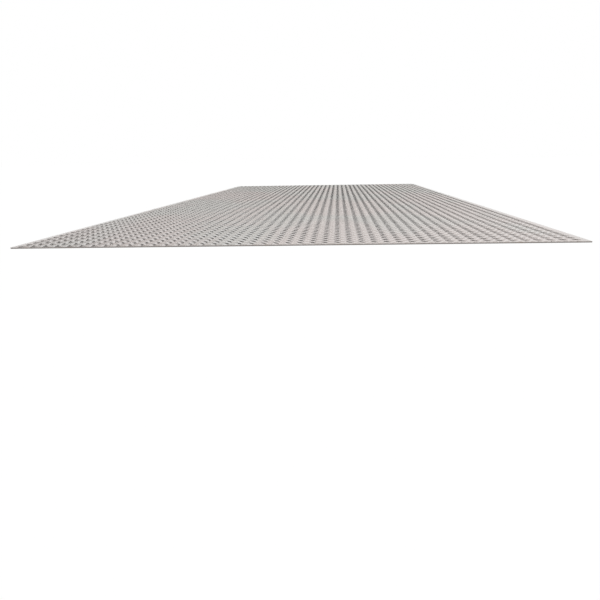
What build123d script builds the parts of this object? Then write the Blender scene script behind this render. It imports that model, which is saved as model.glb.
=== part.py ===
"""Checkered steel plate: one hot-rolled sheet with raised lugs on its upper face.

The sheet lies flat on its plain underside. Width runs along X between the two
mill edges, length runs along Y between the two sheared ends, and Z is up. The
origin is the centre of the underside.

Lugs lean right and left of the rolling direction by turns, each one pointing at
the waist of its neighbours. The end rows, which the shear cuts through and which
bear what lies on the plate, are solid here. The field between them is the same
lug on the same pitch, and is left to the surface.
"""

import os
from math import ceil, cos, floor, radians, sin, tan

from build123d import *

# Sheet, in millimetres. The rolls round its mill edges, by a share of its thickness.
plate_width = 1250.0
plate_length = 2500.0
base_thickness = 3.0
mill_edge_rounding = 0.37

# One lug, a lens in plan with flanks that slope in from root to crest.
lug_length = 23.0
lug_width = 6.0
lug_height = 1.2
flank_angle = 45.0

# Lug pattern: both leans on the same square pitch, half a pitch apart each way.
lug_lean = 45.0
lug_pitch = 27.0
plain_strip = 13.0

# Where the shear falls in the pattern, and the shortest stub of a lug that it leaves.
left_row_setback = 22.8
shortest_stub = 2.0


def pattern_columns():
    """X of every column of lugs, both leans, centred between the plain strips."""
    half_pitch = lug_pitch / 2
    reach = lug_length / 2 * cos(radians(lug_lean))
    steps = floor((plate_width - 2 * (plain_strip + reach)) / half_pitch)
    return [(step - steps / 2) * half_pitch for step in range(steps + 1)]


def end_rows(setback):
    """Y of the first and the last row of one lean, cut through or left whole."""
    reach = lug_length / 2 * sin(radians(lug_lean)) - shortest_stub
    first = ceil((-reach - setback) / lug_pitch)
    last = floor((plate_length + reach - setback) / lug_pitch)
    return [setback + row * lug_pitch - plate_length / 2 for row in (first, last)]


def lug_places(columns, rows, lean):
    """Locations on the upper face for lugs of one lean."""
    return [Location((x, y, base_thickness), (0, 0, lean)) for x in columns for y in rows]


# One lug, the overlap of two cones whose sides are its flanks.
side_radius = (lug_length**2 + lug_width**2) / (4 * lug_width)
crest_radius = side_radius - lug_height / tan(radians(flank_angle))
with BuildPart() as lug:
    for side, mode in ((1, Mode.ADD), (-1, Mode.INTERSECT)):
        with Locations((0, side * (side_radius - lug_width / 2))):
            Cone(
                side_radius,
                crest_radius,
                lug_height,
                align=(Align.CENTER, Align.CENTER, Align.MIN),
                mode=mode,
            )

# The leans take turns by column, and their rows lie half a pitch apart.
columns = pattern_columns()
right_rows = end_rows(left_row_setback - lug_pitch / 2)
left_rows = end_rows(left_row_setback)
places = lug_places(columns[0::2], right_rows, lug_lean)
places += lug_places(columns[1::2], left_rows, -lug_lean)

with BuildPart() as plate:
    # The rolled section, drawn out along the rolling direction.
    with BuildSketch(Plane.XZ.offset(-plate_length / 2)):
        RectangleRounded(
            plate_width,
            base_thickness,
            mill_edge_rounding * base_thickness,
            align=(Align.CENTER, Align.MIN),
        )
    extrude(amount=plate_length)
    with Locations(places):
        add(lug.part)
    # The shear trims the lugs flush with the ends.
    with BuildSketch():
        Rectangle(plate_width, plate_length)
    extrude(amount=base_thickness + lug_height, mode=Mode.INTERSECT)

plate.part.label = "plate"

os.makedirs("parts", exist_ok=True)
export_step(plate.part, "parts/plate.step")
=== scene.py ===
"""Looks of a checkered steel plate, lying flat on a white studio floor.

Metres throughout, in the part's own frame: width along X, the rolling direction
along Y, up along Z, and the origin at the centre of the underside.
"""

import logging
from dataclasses import dataclass, field
from enum import Enum
from math import atan2, ceil, cos, floor, pi, radians, sin, sqrt

import bmesh
import bpy
from mathutils import Matrix, Vector


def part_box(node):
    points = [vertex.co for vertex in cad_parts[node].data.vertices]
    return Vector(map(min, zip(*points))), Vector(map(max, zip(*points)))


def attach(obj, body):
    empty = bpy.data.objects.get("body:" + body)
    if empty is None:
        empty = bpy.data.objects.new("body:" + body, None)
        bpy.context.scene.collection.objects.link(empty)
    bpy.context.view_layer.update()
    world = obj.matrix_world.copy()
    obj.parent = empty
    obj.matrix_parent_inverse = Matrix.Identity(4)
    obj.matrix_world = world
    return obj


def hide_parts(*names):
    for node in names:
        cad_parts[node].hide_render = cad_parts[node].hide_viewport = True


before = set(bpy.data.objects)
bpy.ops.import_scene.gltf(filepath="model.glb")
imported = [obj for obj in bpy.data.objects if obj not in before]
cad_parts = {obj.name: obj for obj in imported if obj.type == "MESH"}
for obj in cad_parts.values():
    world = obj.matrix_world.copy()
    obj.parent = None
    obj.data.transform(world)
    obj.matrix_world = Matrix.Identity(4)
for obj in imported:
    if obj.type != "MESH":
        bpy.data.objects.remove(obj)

log = logging.getLogger("checker_plate")
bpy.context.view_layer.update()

Colour = tuple[float, float, float]
Place = tuple[float, float, float]
Span = tuple[float, float]


class Lean(Enum):
    """Which way a lug leans from the rolling direction, as the sign of its angle."""

    RIGHT = 1
    LEFT = -1


# Shader building blocks.


@dataclass(frozen=True)
class Ramp:
    """A smooth step: where it starts and ends, and the values before and after it."""

    start: float
    end: float
    low: float = 0.0
    high: float = 1.0


@dataclass(frozen=True)
class Mottle:
    """A noise pattern on a surface.

    Attributes:
        repeats: how many there are to a metre.
        octaves: how many finer scales lie over it.
        rough: how strong the finer scales are.
        twist: its distortion.
        squeeze: its scale along X, Y and Z.
        middle: the value that it is spread about.
    """

    repeats: float
    octaves: float
    rough: float
    twist: float = 0.0
    squeeze: Place = (1.0, 1.0, 1.0)
    middle: float = 0.5


class Signal:
    """A shader socket that can be used in a Python expression."""

    def __init__(self, shader: "Shader", socket: bpy.types.NodeSocket | None) -> None:
        """Keeps the socket and the shader whose tree new nodes go into."""
        self.shader = shader
        self.socket = socket

    def sibling(self, output: int | str) -> "Signal":
        """Another output of the node that this signal comes from."""
        return Signal(self.shader, self.socket.node.outputs[output])

    def math(self, operation: str, *others: "Signal | float") -> "Signal":
        """One Math node fed by this signal.

        Args:
            operation: the Math node's operation.
            others: further inputs, signals or numbers.

        Returns:
            The node's value.
        """
        inputs = dict(enumerate((self, *others)))
        return self.shader.node("ShaderNodeMath", {"operation": operation}, inputs)

    def __add__(self, other: "Signal | float") -> "Signal":
        """Sum."""
        return self.math("ADD", other)

    __radd__ = __add__

    def __sub__(self, other: "Signal | float") -> "Signal":
        """Difference."""
        return self.math("SUBTRACT", other)

    def __rsub__(self, other: float) -> "Signal":
        """Difference, with a number in front."""
        return (self * -1.0) + other

    def __mul__(self, other: "Signal | float") -> "Signal":
        """Product."""
        return self.math("MULTIPLY", other)

    __rmul__ = __mul__

    def __abs__(self) -> "Signal":
        """Size without sign."""
        return self.math("ABSOLUTE")

    def below(self, limit: float) -> "Signal":
        """1 where the signal is below the limit, else 0."""
        return self.math("LESS_THAN", limit)

    def over(self, other: "Signal | float") -> "Signal":
        """The larger of this and another signal."""
        return self.math("MAXIMUM", other)

    def wrapped(self, span: float) -> "Signal":
        """The signal repeated over a span centred on zero."""
        return self.math("WRAP", span / 2, -span / 2)

    def step(self, ramp: Ramp) -> "Signal":
        """Sends the signal through a smooth step.

        Args:
            ramp: the step.

        Returns:
            The stepped signal.
        """
        settings = {"interpolation_type": "SMOOTHSTEP", "clamp": True}
        inputs = {"Value": self, "From Min": ramp.start, "From Max": ramp.end}
        inputs |= {"To Min": ramp.low, "To Max": ramp.high}
        return self.shader.node("ShaderNodeMapRange", settings, inputs)


class Shader:
    """A node tree of a material or a world, filled through one method."""

    def __init__(self, tree: bpy.types.NodeTree) -> None:
        """Empties the tree."""
        self.tree = tree
        self.tree.nodes.clear()

    def node(self, kind: str, settings: dict | None = None, inputs: dict | None = None,
             output: int | str = 0) -> Signal:
        """Adds one node.

        Args:
            kind: the node's type.
            settings: attributes, set first.
            inputs: socket name or number to a number, tuple or signal.
            output: which output is wanted.

        Returns:
            That output.
        """
        made = self.tree.nodes.new(kind)
        for name, value in (settings or {}).items():
            setattr(made, name, value)
        for key, value in (inputs or {}).items():
            if isinstance(value, Signal):
                self.tree.links.new(value.socket, made.inputs[key])
            else:
                made.inputs[key].default_value = value
        return Signal(self, made.outputs[output] if made.outputs else None)

    def mix(self, factor: Signal | float, first: Signal | Colour, second: Signal | Colour,
            blend: str = "MIX") -> Signal:
        """Mixes two colours.

        Args:
            factor: share of the second colour.
            first: colour at 0.
            second: colour at 1.
            blend: how they are blended.

        Returns:
            The mixed colour.
        """
        # A Mix node's colour sockets follow those for numbers and vectors.
        settings = {"data_type": "RGBA", "blend_type": blend, "clamp_factor": True}
        inputs = {0: factor, 6: rgba(first), 7: rgba(second)}
        return self.node("ShaderNodeMix", settings, inputs, 2)

    def parts(self, vector: Signal) -> tuple[Signal, Signal, Signal]:
        """X, Y and Z of a vector."""
        x = self.node("ShaderNodeSeparateXYZ", None, {"Vector": vector})
        return x, x.sibling(1), x.sibling(2)

    def grey(self, value: Signal) -> Signal:
        """A grey of the given value."""
        return self.node("ShaderNodeCombineColor", None, {"Red": value, "Green": value, "Blue": value})

    def places(self) -> tuple[Signal, Signal, Signal, Signal]:
        """Object coordinates, as a vector and as X, Y and Z."""
        at = self.node("ShaderNodeTexCoord", output="Object")
        return at, *self.parts(at)

    def noise(self, at: Signal, mottle: Mottle) -> Signal:
        """Fractal noise from about 0.25 to 0.75.

        Args:
            at: coordinates.
            mottle: which pattern.

        Returns:
            The noise value.
        """
        if mottle.squeeze != Mottle.squeeze:
            squeezed = {"Vector": at, "Scale": mottle.squeeze}
            at = self.node("ShaderNodeMapping", {"vector_type": "POINT"}, squeezed)
        inputs = {"Vector": at, "Scale": mottle.repeats, "Detail": mottle.octaves}
        inputs |= {"Roughness": mottle.rough, "Distortion": mottle.twist}
        return self.node("ShaderNodeTexNoise", {"noise_dimensions": "3D"}, inputs)

    def metal(self, colour: Signal, rough: Signal, relief: Signal, bump: float, metallic: float) -> None:
        """Ends the tree in a metal.

        Args:
            colour: its base colour.
            rough: its roughness.
            relief: height of its surface in metres.
            bump: how strongly the relief shows.
            metallic: share of bare metal.
        """
        normal = self.node("ShaderNodeBump", None, {"Strength": bump, "Distance": 1.0, "Height": relief})
        inputs = {"Base Color": colour, "Metallic": metallic, "Roughness": rough, "Normal": normal}
        surface = self.node("ShaderNodeBsdfPrincipled", None, inputs)
        self.node("ShaderNodeOutputMaterial", None, {"Surface": surface})


def rgba(colour: Signal | Colour) -> Signal | tuple[float, float, float, float]:
    """A colour with its alpha, or a signal as it is."""
    return colour if isinstance(colour, Signal) else (*colour, 1.0)


def new_material(name: str) -> tuple[bpy.types.Material, Shader]:
    """Makes a material with an empty node tree.

    Args:
        name: the material's name.

    Returns:
        The material and its shader.
    """
    material = bpy.data.materials.new(name)
    material.use_nodes = True
    return material, Shader(material.node_tree)


# Mesh helpers.


def finished_mesh(name: str, bm: bmesh.types.BMesh) -> bpy.types.Mesh:
    """Turns a bmesh into a new mesh and frees it.

    Args:
        name: the mesh's name.
        bm: what it is made of.

    Returns:
        The mesh.
    """
    made = bpy.data.meshes.new(name)
    bm.to_mesh(made)
    bm.free()
    return made


def between(span: Span, share: float) -> float:
    """The value at a share of a span."""
    return span[0] + (span[1] - span[0]) * share


# The lugs and their pattern.


@dataclass(frozen=True)
class LugShape:
    """One lug: a lens in plan whose flanks slope in to a worn crest."""

    length: float = 0.023
    width: float = 0.006
    flank_angle: float = radians(45.0)
    crest_bevel: float = 0.0004
    crest_drop: float = 0.00018
    tip_fall: float = 0.0002
    tip_power: int = 4
    sink: float = 0.0003
    sides: int = 12

    @property
    def side_radius(self) -> float:
        """Radius of the two arcs that bound the lens."""
        return (self.length**2 + self.width**2) / (4 * self.width)

    @property
    def side_offset(self) -> float:
        """How far the centre of each arc lies from the long axis."""
        return self.side_radius - self.width / 2

    def ring(self, bm: bmesh.types.BMesh, inset: float, level: float,
             fall: float = 0.0) -> list[bmesh.types.BMEdge]:
        """Adds one outline of the lug.

        Args:
            bm: the mesh.
            inset: how far inside the root outline it lies.
            level: its height at the middle.
            fall: how much lower its tips lie.

        Returns:
            The edges of the ring.
        """
        radius = self.side_radius - inset
        tip = sqrt(radius**2 - self.side_offset**2)
        verts = bmesh.ops.create_circle(bm, segments=self.sides, radius=1.0)["verts"]
        for vert in verts:
            x = tip * (1.0 - 2.0 * atan2(abs(vert.co.y), vert.co.x) / pi)
            y = sqrt(max(radius**2 - x**2, 0.0)) - self.side_offset
            z = level - fall * (x / tip) ** self.tip_power
            vert.co = Vector((x, y if vert.co.y > 0 else -y, z))
        return list({edge for vert in verts for edge in vert.link_edges})

    def mesh(self, base: float, height: float) -> bpy.types.Mesh:
        """Builds the lug with its tips along X.

        Args:
            base: height of the sheet's upper face.
            height: rise of the crest over it.

        Returns:
            A closed mesh centred on the Z axis.
        """
        slope = cos(self.flank_angle) / sin(self.flank_angle)
        rise = height - self.crest_drop
        bm = bmesh.new()
        foot = self.ring(bm, -self.sink * slope, base - self.sink)
        shoulder = self.ring(bm, rise * slope, base + rise, self.tip_fall)
        crest = self.ring(bm, rise * slope + self.crest_bevel, base + height, self.tip_fall)
        bmesh.ops.bridge_loops(bm, edges=foot + shoulder)
        bmesh.ops.bridge_loops(bm, edges=shoulder + crest)
        bmesh.ops.holes_fill(bm, edges=foot + crest, sides=self.sides)
        bmesh.ops.recalc_face_normals(bm, faces=bm.faces[:])
        return finished_mesh("lug", bm)


@dataclass(frozen=True)
class LugPattern:
    """Where the lugs stand: both leans on one square pitch, half a pitch apart."""

    width: float
    length: float
    lug: LugShape = field(default_factory=LugShape)
    lean: float = radians(45.0)
    pitch: float = 0.027
    plain_strip: float = 0.013
    left_row_setback: float = 0.0228
    shortest_stub: float = 0.002

    @property
    def column_count(self) -> int:
        """How many columns fit between the plain strips, both leans together."""
        reach = self.lug.length / 2 * cos(self.lean)
        return floor((self.width - 2 * (self.plain_strip + reach)) / (self.pitch / 2)) + 1

    def first_column(self, lean: Lean) -> float:
        """X of the leftmost column of one lean."""
        left = -(self.column_count - 1) * self.pitch / 4
        return left if lean is Lean.RIGHT else left + self.pitch / 2

    def columns(self, lean: Lean) -> int:
        """How many columns have one lean."""
        return (self.column_count + 1) // 2 if lean is Lean.RIGHT else self.column_count // 2

    def rows(self, lean: Lean) -> tuple[float, int]:
        """Finds the rows of one lean, those that the shear cuts through too.

        Args:
            lean: which lugs are meant.

        Returns:
            Y of the first row, and how many rows there are.
        """
        setback = self.left_row_setback - (self.pitch / 2 if lean is Lean.RIGHT else 0.0)
        reach = self.lug.length / 2 * sin(self.lean) - self.shortest_stub
        first = ceil((-reach - setback) / self.pitch)
        last = floor((self.length + reach - setback) / self.pitch)
        return setback + first * self.pitch - self.length / 2, last - first + 1

    def inset(self, x: Signal, y: Signal, lean: Lean) -> Signal:
        """How far a place lies inside the nearest lug's outline, below 0 outside it.

        Args:
            x: X in metres.
            y: Y in metres.
            lean: which lugs are meant.

        Returns:
            The distance in metres.
        """
        across = (x - self.first_column(lean)).wrapped(self.pitch)
        along = (y - self.rows(lean)[0]).wrapped(self.pitch)
        c, s = cos(self.lean), sin(self.lean) * lean.value
        a = across * c + along * s
        b = along * c - across * s
        reach = (a * a + (abs(b) + self.lug.side_offset).math("POWER", 2.0)).math("SQRT")
        outermost = (self.column_count - 0.5) * self.pitch / 4
        within = abs(x - across).below(outermost)
        return (self.lug.side_radius - reach) + (within - 1.0)


# Finishes.


@dataclass(frozen=True)
class MillFinish:
    """Hot-rolled steel, pickled grey and handled."""

    warm: Colour = (0.682, 0.618, 0.594)
    cool: Colour = (0.634, 0.620, 0.594)
    stain: Colour = (0.480, 0.445, 0.420)
    # The dark colour at the lug feet and round them: partly dirt, partly painted shade where the lugs meet
    # the sheet.
    grime: Colour = (0.280, 0.250, 0.225)
    worn: Colour = (0.720, 0.690, 0.665)
    scale: Colour = (0.300, 0.300, 0.315)

    clouds: Mottle = Mottle(3.2, 4.0, 0.55, 0.4, squeeze=(1.0, 0.6, 1.0))
    drift: Mottle = Mottle(9.0, 3.0, 0.6, squeeze=(1.0, 0.35, 1.0))
    streaks: Mottle = Mottle(260.0, 3.0, 0.55, squeeze=(1.0, 0.012, 1.0))
    grain: Mottle = Mottle(900.0, 2.0, 0.6)
    blotches: Mottle = Mottle(14.0, 5.0, 0.60, 0.2)
    patches: Mottle = Mottle(38.0, 2.0, 0.6)

    warmth: Ramp = Ramp(0.40, 0.58)
    warmth_fall: float = 0.05
    blotch_stain: Ramp = Ramp(0.56, 0.70, 0.0, 0.35)
    drift_stain: Ramp = Ramp(0.52, 0.70, 0.0, 0.18)
    streak_tone: Ramp = Ramp(0.30, 0.70, 0.96, 1.03)
    grain_tone: Ramp = Ramp(0.30, 0.70, 0.97, 1.03)

    # foot and halo mark the lower lug flanks and the sheet next to them: patchy dirt and painted shade in
    # the corners there.
    foot: Ramp = Ramp(0.0, 0.0011, 1.0, 0.0)
    foot_grime: Ramp = Ramp(0.35, 0.65, 0.40, 0.68)
    crest: Ramp = Ramp(0.0010, 0.0016)
    crest_wear: Ramp = Ramp(0.34, 0.58, 0.25, 0.85)
    halo: Ramp = Ramp(-0.0012, 0.0)
    halo_grime: Ramp = Ramp(0.35, 0.65, 0.20, 0.50)
    upper_face: Ramp = Ramp(0.0014, 0.0018)
    scale_cover: Ramp = Ramp(0.35, 0.65, 0.50, 0.80)

    metallic: float = 0.92
    roughness: float = 0.28
    crest_roughness: float = 0.24
    halo_roughening: float = 0.12
    scale_roughening: float = 0.16
    stain_roughening: float = 0.10
    streak_roughening: Ramp = Ramp(0.30, 0.70, -0.015, 0.015)

    cloud_relief: float = 0.004
    drift_relief: float = 0.0006
    grain_relief: float = 0.00002
    bump: float = 0.35

    def material(self, name: str, pattern: LugPattern, leans: tuple[Lean, ...],
                 on_lugs: bool) -> bpy.types.Material:
        """Builds the finish for the sheet or for the lugs of one lean.

        Args:
            name: the material's name.
            pattern: where the lugs stand.
            leans: which lugs the surface has or meets.
            on_lugs: whether the surface is the lugs' own.

        Returns:
            The material.
        """
        material, s = new_material(name)
        at, x, y, z = s.places()
        inset = pattern.inset(x, y, leans[0])
        for lean in leans[1:]:
            inset = inset.over(pattern.inset(x, y, lean))
        clouds = s.noise(at, self.clouds)
        drift = s.noise(at, self.drift)
        streaks = s.noise(at, self.streaks)
        grain = s.noise(at, self.grain)
        patches = s.noise(at, self.patches)

        colour = s.mix((clouds - y * self.warmth_fall).step(self.warmth), self.cool, self.warm)
        stained = s.noise(at, self.blotches).step(self.blotch_stain) + drift.step(self.drift_stain)
        colour = s.mix(stained, colour, self.stain)
        tone = streaks.step(self.streak_tone) * grain.step(self.grain_tone)
        colour = s.mix(1.0, colour, s.grey(tone), "MULTIPLY")
        if on_lugs:
            colour, rough = self.lug_wear(s, colour, inset, patches)
        else:
            scaled = (1.0 - z.step(self.upper_face)) * drift.step(self.scale_cover)
            # A ring round each lug on the upper face, where grime and painted shade are put.
            halo = inset.step(self.halo) * z.step(self.upper_face)
            colour, rough = self.sheet_wear(s, colour, scaled, halo, patches)
        rough = rough + (stained * self.stain_roughening + streaks.step(self.streak_roughening))
        relief = clouds * self.cloud_relief + drift * self.drift_relief + grain * self.grain_relief
        s.metal(colour, rough, relief, self.bump, self.metallic)
        return material

    def lug_wear(self, s: Shader, colour: Signal, inset: Signal, patches: Signal) -> tuple[Signal, Signal]:
        """Puts grime and painted shade at the feet of the lugs, and wear on their crests.

        Args:
            s: the shader.
            colour: the clean steel.
            inset: distance inside the lug's outline.
            patches: how the grime, the painted shade and the wear come and go.

        Returns:
            The colour and the roughness.
        """
        # Painted shade with grime: the lower flanks of the lugs are darkened towards their feet.
        colour = s.mix(inset.step(self.foot) * patches.step(self.foot_grime), colour, self.grime)
        crest = inset.step(self.crest) * patches.step(self.crest_wear)
        rough = crest * (self.crest_roughness - self.roughness) + self.roughness
        return s.mix(crest, colour, self.worn), rough

    def sheet_wear(self, s: Shader, colour: Signal, scaled: Signal, halo: Signal,
                   patches: Signal) -> tuple[Signal, Signal]:
        """Puts mill scale on the underside, and grime with painted shade round the lugs.

        Args:
            s: the shader.
            colour: the clean steel.
            scaled: where mill scale is left.
            halo: nearness to a lug.
            patches: how the grime and the painted shade come and go.

        Returns:
            The colour and the roughness.
        """
        colour = s.mix(scaled, colour, self.scale)
        # Painted shade with grime: the sheet is darkened in a ring round each lug foot.
        colour = s.mix(halo * patches.step(self.halo_grime), colour, self.grime)
        rough = halo * self.halo_roughening + scaled * self.scale_roughening + self.roughness
        return colour, rough


@dataclass(frozen=True)
class ShearedFinish:
    """A sheared end: a bright burnished land over a torn, duller fracture."""

    land: Colour = (0.480, 0.450, 0.430)
    fracture: Colour = (0.260, 0.235, 0.220)
    rust: Colour = (0.270, 0.190, 0.130)

    waver: Mottle = Mottle(160.0, 3.0, 0.6, squeeze=(1.0, 1.0, 0.1))
    tears: Mottle = Mottle(1400.0, 3.0, 0.65, squeeze=(1.0, 1.0, 0.08))
    spots: Mottle = Mottle(30.0, 4.0, 0.6)

    land_share: float = 0.4
    land_blur: float = 0.08
    land_sway: float = 0.5
    rusting: Ramp = Ramp(0.58, 0.72, 0.0, 0.5)

    metallic: float = 0.9
    fracture_roughness: float = 0.58
    land_roughness: float = 0.36
    tear_roughening: Ramp = Ramp(0.3, 0.7, -0.05, 0.05)
    tear_relief: float = 0.00012
    bump: float = 0.6

    def material(self, name: str, thickness: float) -> bpy.types.Material:
        """Builds the finish of both sheared ends.

        Args:
            name: the material's name.
            thickness: of the sheet.

        Returns:
            The material.
        """
        material, s = new_material(name)
        at, _, _, z = s.places()
        tears = s.noise(at, self.tears)
        level = z + (s.noise(at, self.waver) - self.waver.middle) * (thickness * self.land_sway)
        share = 1.0 - self.land_share
        edge = Ramp(thickness * (share - self.land_blur), thickness * (share + self.land_blur))
        land = level.step(edge)
        colour = s.mix(land, self.fracture, self.land)
        colour = s.mix(s.noise(at, self.spots).step(self.rusting), colour, self.rust)
        rough = land * (self.land_roughness - self.fracture_roughness) + self.fracture_roughness
        rough = rough + tears.step(self.tear_roughening)
        s.metal(colour, rough, tears * self.tear_relief, self.bump, self.metallic)
        return material


# The plate.


def shown(name: str, mesh: bpy.types.Mesh, materials: list[bpy.types.Material]) -> bpy.types.Object:
    """Puts a piece in the scene, lets it ride on the plate's body and stand for its node.

    Args:
        name: the piece's name.
        mesh: its mesh, in the part's frame.
        materials: what its material slots hold, in order.

    Returns:
        The piece.
    """
    piece = bpy.data.objects.new(name, mesh)
    bpy.context.scene.collection.objects.link(piece)
    for material in materials:
        mesh.materials.append(material)
    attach(piece, "root")
    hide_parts("plate")
    return piece


@dataclass
class Sheet:
    """The rolled sheet between the lugs."""

    width: float
    length: float
    thickness: float
    mill_edge_radius: float = 0.0011
    mill_edge_segments: int = 4
    rollover: float = 0.00025
    rollover_segments: int = 2
    touching: float = 1e-6
    flat_facing: float = 0.999
    end_facing: float = 0.99

    def mesh(self) -> bpy.types.Mesh:
        """Builds the sheet with rounded mill edges and sheared ends.

        Returns:
            A closed mesh, its sheared ends in the second material slot.
        """
        bm = bmesh.new()
        bmesh.ops.create_cube(bm, size=1.0)
        bmesh.ops.scale(bm, verts=bm.verts[:], vec=(self.width, self.length, self.thickness))
        bmesh.ops.translate(bm, verts=bm.verts[:], vec=(0.0, 0.0, self.thickness / 2))
        mill = [edge for edge in bm.edges if self.run(edge) > self.length / 2]
        self.round_off(bm, mill, self.mill_edge_radius, self.mill_edge_segments)
        top = self.thickness - self.touching
        ends = [
            edge
            for edge in bm.edges
            if min(vert.co.z for vert in edge.verts) > top and self.run(edge) < self.touching
        ]
        self.round_off(bm, ends, self.rollover, self.rollover_segments)
        for face in bm.faces:
            face.smooth = max(abs(part) for part in face.normal) < self.flat_facing
            face.material_index = 1 if abs(face.normal.y) > self.end_facing else 0
        return finished_mesh("sheet", bm)

    @staticmethod
    def run(edge: bmesh.types.BMEdge) -> float:
        """How far an edge runs along the rolling direction."""
        return abs(edge.verts[0].co.y - edge.verts[1].co.y)

    @staticmethod
    def round_off(bm: bmesh.types.BMesh, edges: list[bmesh.types.BMEdge], radius: float,
                  segments: int) -> None:
        """Rounds edges of the sheet.

        Args:
            bm: the mesh.
            edges: which edges.
            radius: of the rounding.
            segments: faces round it.
        """
        bmesh.ops.bevel(
            bm,
            geom=edges,
            offset=radius,
            offset_type="OFFSET",
            segments=segments,
            profile=0.5,
            affect="EDGES",
            clamp_overlap=True,
            material=-1,
        )


@dataclass
class LugRows:
    """A run of rows of lugs with one lean."""

    pattern: LugPattern
    base: float
    height: float
    lean: Lean
    start: int
    count: int
    cut_tolerance: float = 1e-7
    sharp_angle: float = radians(60.0)
    down_facing: float = -0.5
    end_facing: float = 0.95
    map_width: Span = (0.01, 0.99)
    map_hidden: Span = (0.005, 0.025)
    map_shown: Span = (0.04, 0.99)

    def mesh(self) -> bpy.types.Mesh:
        """Builds the rows as one joined mesh, cut flush where the shear meets them.

        Returns:
            The mesh, with the map that its finish is baked to.
        """
        one = self.pattern.lug.mesh(self.base, self.height)
        first_y = self.pattern.rows(self.lean)[0] + self.start * self.pattern.pitch
        turn = Matrix.Rotation(self.pattern.lean * self.lean.value, 4, "Z")
        one.transform(Matrix.Translation((self.pattern.first_column(self.lean), first_y, 0.0)) @ turn)
        seed = bpy.data.objects.new("lug_seed", one)
        bpy.context.scene.collection.objects.link(seed)
        counts = (self.pattern.columns(self.lean), self.count)
        steps = ((self.pattern.pitch, 0.0, 0.0), (0.0, self.pattern.pitch, 0.0))
        for number, step in zip(counts, steps):
            array = seed.modifiers.new("array", "ARRAY")
            array.count = number
            array.use_relative_offset = False
            array.use_constant_offset = True
            array.constant_offset_displace = step
        graph = bpy.context.evaluated_depsgraph_get()
        joined = bpy.data.meshes.new_from_object(seed.evaluated_get(graph))
        bpy.data.objects.remove(seed)
        bpy.data.meshes.remove(one)
        self.shear(joined)
        return joined

    def shear(self, mesh: bpy.types.Mesh) -> None:
        """Cuts the lugs flush with both ends of the sheet and closes the cuts.

        Args:
            mesh: the joined rows.
        """
        bm = bmesh.new()
        bm.from_mesh(mesh)
        for way in (-1.0, 1.0):
            end = way * self.pattern.length / 2
            cut = bmesh.ops.bisect_plane(
                bm,
                geom=bm.verts[:] + bm.edges[:] + bm.faces[:],
                dist=self.cut_tolerance,
                plane_co=(0.0, end, 0.0),
                plane_no=(0.0, way, 0.0),
                clear_outer=True,
            )["geom_cut"]
            rims = [item for item in cut if isinstance(item, bmesh.types.BMEdge)]
            if rims:
                bmesh.ops.edgeloop_fill(bm, edges=rims)
        bmesh.ops.recalc_face_normals(bm, faces=bm.faces[:])
        for face in bm.faces:
            face.smooth = True
        self.chart(bm)
        bm.to_mesh(mesh)
        bm.free()
        mesh.set_sharp_from_angle(angle=self.sharp_angle)

    def chart(self, bm: bmesh.types.BMesh) -> None:
        """Lays the rows out as one map seen from above, the hidden feet in a strip under it.

        Args:
            bm: the rows.
        """
        layer = bm.loops.layers.uv.new("OFBake")
        low = Vector((min(v.co.x for v in bm.verts), min(v.co.y for v in bm.verts), 0.0))
        high = Vector((max(v.co.x for v in bm.verts), max(v.co.y for v in bm.verts), 0.0))
        top = self.base + self.height
        for face in bm.faces:
            strip = self.map_hidden if face.normal.z < self.down_facing else self.map_shown
            lift = face.normal.y if abs(face.normal.y) > self.end_facing else 0.0
            for loop in face.loops:
                at = loop.vert.co
                u = (at.x - low.x) / (high.x - low.x)
                v = (at.y + lift * (top - at.z) - low.y) / (high.y - low.y)
                loop[layer].uv = (between(self.map_width, u), between(strip, v))


@dataclass
class CheckerPlate:
    """The whole plate: the sheet and its lugs, dressed."""

    base_thickness: float = 0.003
    row_runs: int = 2
    leans: tuple[Lean, ...] = (Lean.RIGHT, Lean.LEFT)
    finish: MillFinish = field(default_factory=MillFinish)
    ends: ShearedFinish = field(default_factory=ShearedFinish)

    def build(self) -> list[bpy.types.Object]:
        """Builds every piece in the place of the plate's CAD node.

        Returns:
            The pieces.
        """
        low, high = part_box("plate")
        pattern = LugPattern(high.x - low.x, high.y - low.y)
        pieces = [self.sheet(pattern)]
        for lean in self.leans:
            pieces += self.lugs(pattern, lean, high.z - self.base_thickness)
        return pieces

    def sheet(self, pattern: LugPattern) -> bpy.types.Object:
        """Builds the sheet.

        Args:
            pattern: where the lugs stand, and how large the sheet is.

        Returns:
            The piece.
        """
        rolled = self.finish.material("rolled_face", pattern, self.leans, on_lugs=False)
        sheared = self.ends.material("sheared_end", self.base_thickness)
        sheet = Sheet(pattern.width, pattern.length, self.base_thickness)
        return shown("sheet", sheet.mesh(), [rolled, sheared])

    def lugs(self, pattern: LugPattern, lean: Lean, height: float) -> list[bpy.types.Object]:
        """Builds the lugs of one lean in runs of rows.

        Args:
            pattern: where the lugs stand.
            lean: which lugs are meant.
            height: rise of their crests over the sheet.

        Returns:
            The pieces.
        """
        name = f"lugs_{lean.name.lower()}"
        coat = self.finish.material(name, pattern, (lean,), on_lugs=True)
        total = pattern.rows(lean)[1]
        share = ceil(total / self.row_runs)
        pieces = []
        for run in range(self.row_runs):
            start = run * share
            count = min(share, total - start)
            rows = LugRows(pattern, self.base_thickness, height, lean, start, count)
            pieces.append(shown(f"{name}_{run + 1}", rows.mesh(), [coat]))
        return pieces


# The studio.


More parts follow.
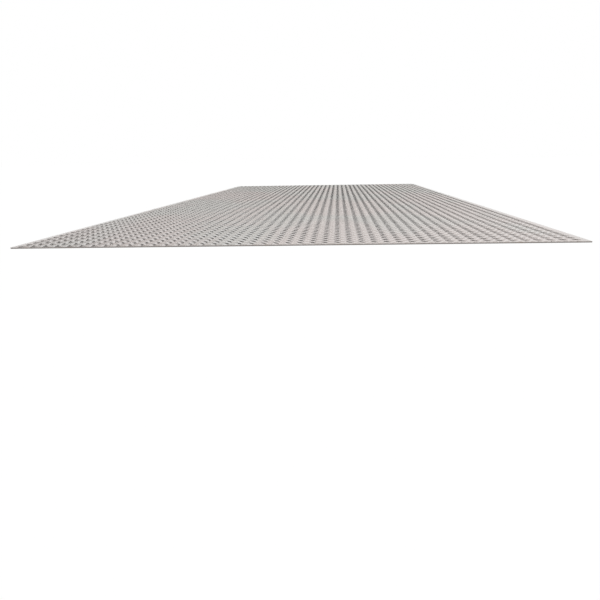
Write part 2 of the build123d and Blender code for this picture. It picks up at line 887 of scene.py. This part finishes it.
@dataclass
class Studio:
    """A white floor, a bright horizon, a darker upper left side and the camera."""

    frame_pixels: float = 600.0
    sensor: float = 36.0
    focal_pixels: float = 483.8
    centre_pixel: float = 325.0
    place: Place = (0.0904, -2.2771, 0.1762)
    yaw: float = radians(1.72)
    pitch: float = radians(16.17)
    roll: float = radians(-0.92)
    nearest: float = 0.01
    farthest: float = 200.0

    floor_size: float = 60.0
    floor_gap: float = 0.0001
    floor_colour: Colour = (0.96, 0.96, 0.96)
    floor_glow: float = 0.88
    floor_strength: float = 1.045

    horizon: Ramp = Ramp(0.26, 0.60, 1.0, 0.0)
    overhead: Ramp = Ramp(-0.04, 0.20, 0.02, 1.0)
    overhead_slant: float = 0.35
    room: Ramp = Ramp(-0.45, 0.10, 0.50, 1.0)
    horizon_shine: float = 0.75

    sun_place: Place = (1.6, -2.4, 3.6)
    sun_strength: float = 0.9
    sun_angle: float = radians(50.0)

    def camera(self) -> None:
        """Puts the camera where the plate has the photograph's perspective."""
        data = bpy.data.cameras.new("camera")
        data.sensor_width = self.sensor
        data.lens = self.focal_pixels * self.sensor / self.frame_pixels
        data.shift_x = (self.frame_pixels / 2 - self.centre_pixel) / self.frame_pixels
        data.clip_start = self.nearest
        data.clip_end = self.farthest
        level = Vector((cos(self.yaw), sin(self.yaw), 0.0))
        ahead = Vector((-sin(self.yaw), cos(self.yaw), 0.0))
        forward = cos(self.pitch) * ahead - Vector((0.0, 0.0, sin(self.pitch)))
        upright = level.cross(forward)
        right = cos(self.roll) * level + sin(self.roll) * upright
        up = cos(self.roll) * upright - sin(self.roll) * level
        camera = bpy.data.objects.new("camera", data)
        turn = Matrix((right, up, -forward)).transposed().to_4x4()
        camera.matrix_world = Matrix.Translation(self.place) @ turn
        bpy.context.scene.collection.objects.link(camera)
        bpy.context.scene.camera = camera

    def ground(self) -> None:
        """A white floor that keeps the plate's shadow.

        Seen directly or mirrored, most of it glows, and its glow makes up for the
        part that is lit and shaded.
        """
        bm = bmesh.new()
        bmesh.ops.create_grid(bm, x_segments=1, y_segments=1, size=self.floor_size)
        bmesh.ops.translate(bm, verts=bm.verts[:], vec=(0.0, 0.0, -self.floor_gap))
        mesh = finished_mesh("studio_floor", bm)
        material, s = new_material("studio_floor")
        matt = s.node("ShaderNodeBsdfDiffuse", None, {"Color": rgba(self.floor_colour)})
        white = {"Color": rgba((1.0, 1.0, 1.0)), "Strength": self.floor_strength}
        glow = s.node("ShaderNodeEmission", None, white)
        eye = s.node("ShaderNodeLightPath", output="Is Camera Ray")
        rays = eye + eye.sibling("Is Glossy Ray") + eye.sibling("Is Transmission Ray")
        seen = rays.math("MINIMUM", 1.0) * self.floor_glow
        surface = s.node("ShaderNodeMixShader", None, {0: seen, 1: matt, 2: glow})
        s.node("ShaderNodeOutputMaterial", None, {"Surface": surface})
        mesh.materials.append(material)
        ground = bpy.data.objects.new("studio_floor", mesh)
        bpy.context.scene.collection.objects.link(ground)

    def sky(self) -> None:
        """White behind the plate, dimmer behind the viewer and dark to the upper left."""
        world = bpy.data.worlds.new("studio")
        world.use_nodes = True
        bpy.context.scene.world = world
        s = Shader(world.node_tree)
        x, y, z = s.parts(s.node("ShaderNodeTexCoord", output="Generated"))
        overhead = (x + abs(y) * self.overhead_slant).step(self.overhead)
        horizon = z.step(self.horizon)
        light = (horizon + (1.0 - horizon) * overhead) * y.step(self.room)
        eye = s.node("ShaderNodeLightPath", output="Is Camera Ray")
        shine = eye.sibling("Is Glossy Ray") + eye.sibling("Is Transmission Ray")
        seen = light.over(eye).over(horizon * shine * self.horizon_shine)
        back = s.node("ShaderNodeBackground", None, {"Color": s.grey(seen), "Strength": 1.0})
        s.node("ShaderNodeOutputWorld", None, {"Surface": back})

    def lamp(self) -> None:
        """A soft, distant lamp above the viewer's right shoulder."""
        data = bpy.data.lights.new("key", "SUN")
        data.energy = self.sun_strength
        data.angle = self.sun_angle
        lamp = bpy.data.objects.new("key", data)
        lamp.location = self.sun_place
        lamp.rotation_euler = (-lamp.location).to_track_quat("-Z", "Y").to_euler()
        bpy.context.scene.collection.objects.link(lamp)

    def build(self) -> None:
        """Sets up floor, light and camera."""
        self.ground()
        self.sky()
        self.lamp()
        self.camera()
        bpy.context.scene.view_settings.view_transform = "Standard"


def triangles(piece: bpy.types.Object) -> int:
    """How many triangles a piece has."""
    piece.data.calc_loop_triangles()
    return len(piece.data.loop_triangles)


def main() -> None:
    """Builds the plate and the studio."""
    logging.basicConfig(level=logging.INFO, format="%(message)s")
    for piece in CheckerPlate().build():
        log.info("%s: %d triangles", piece.name, triangles(piece))
    Studio().build()


if __name__ == "__main__":
    main()
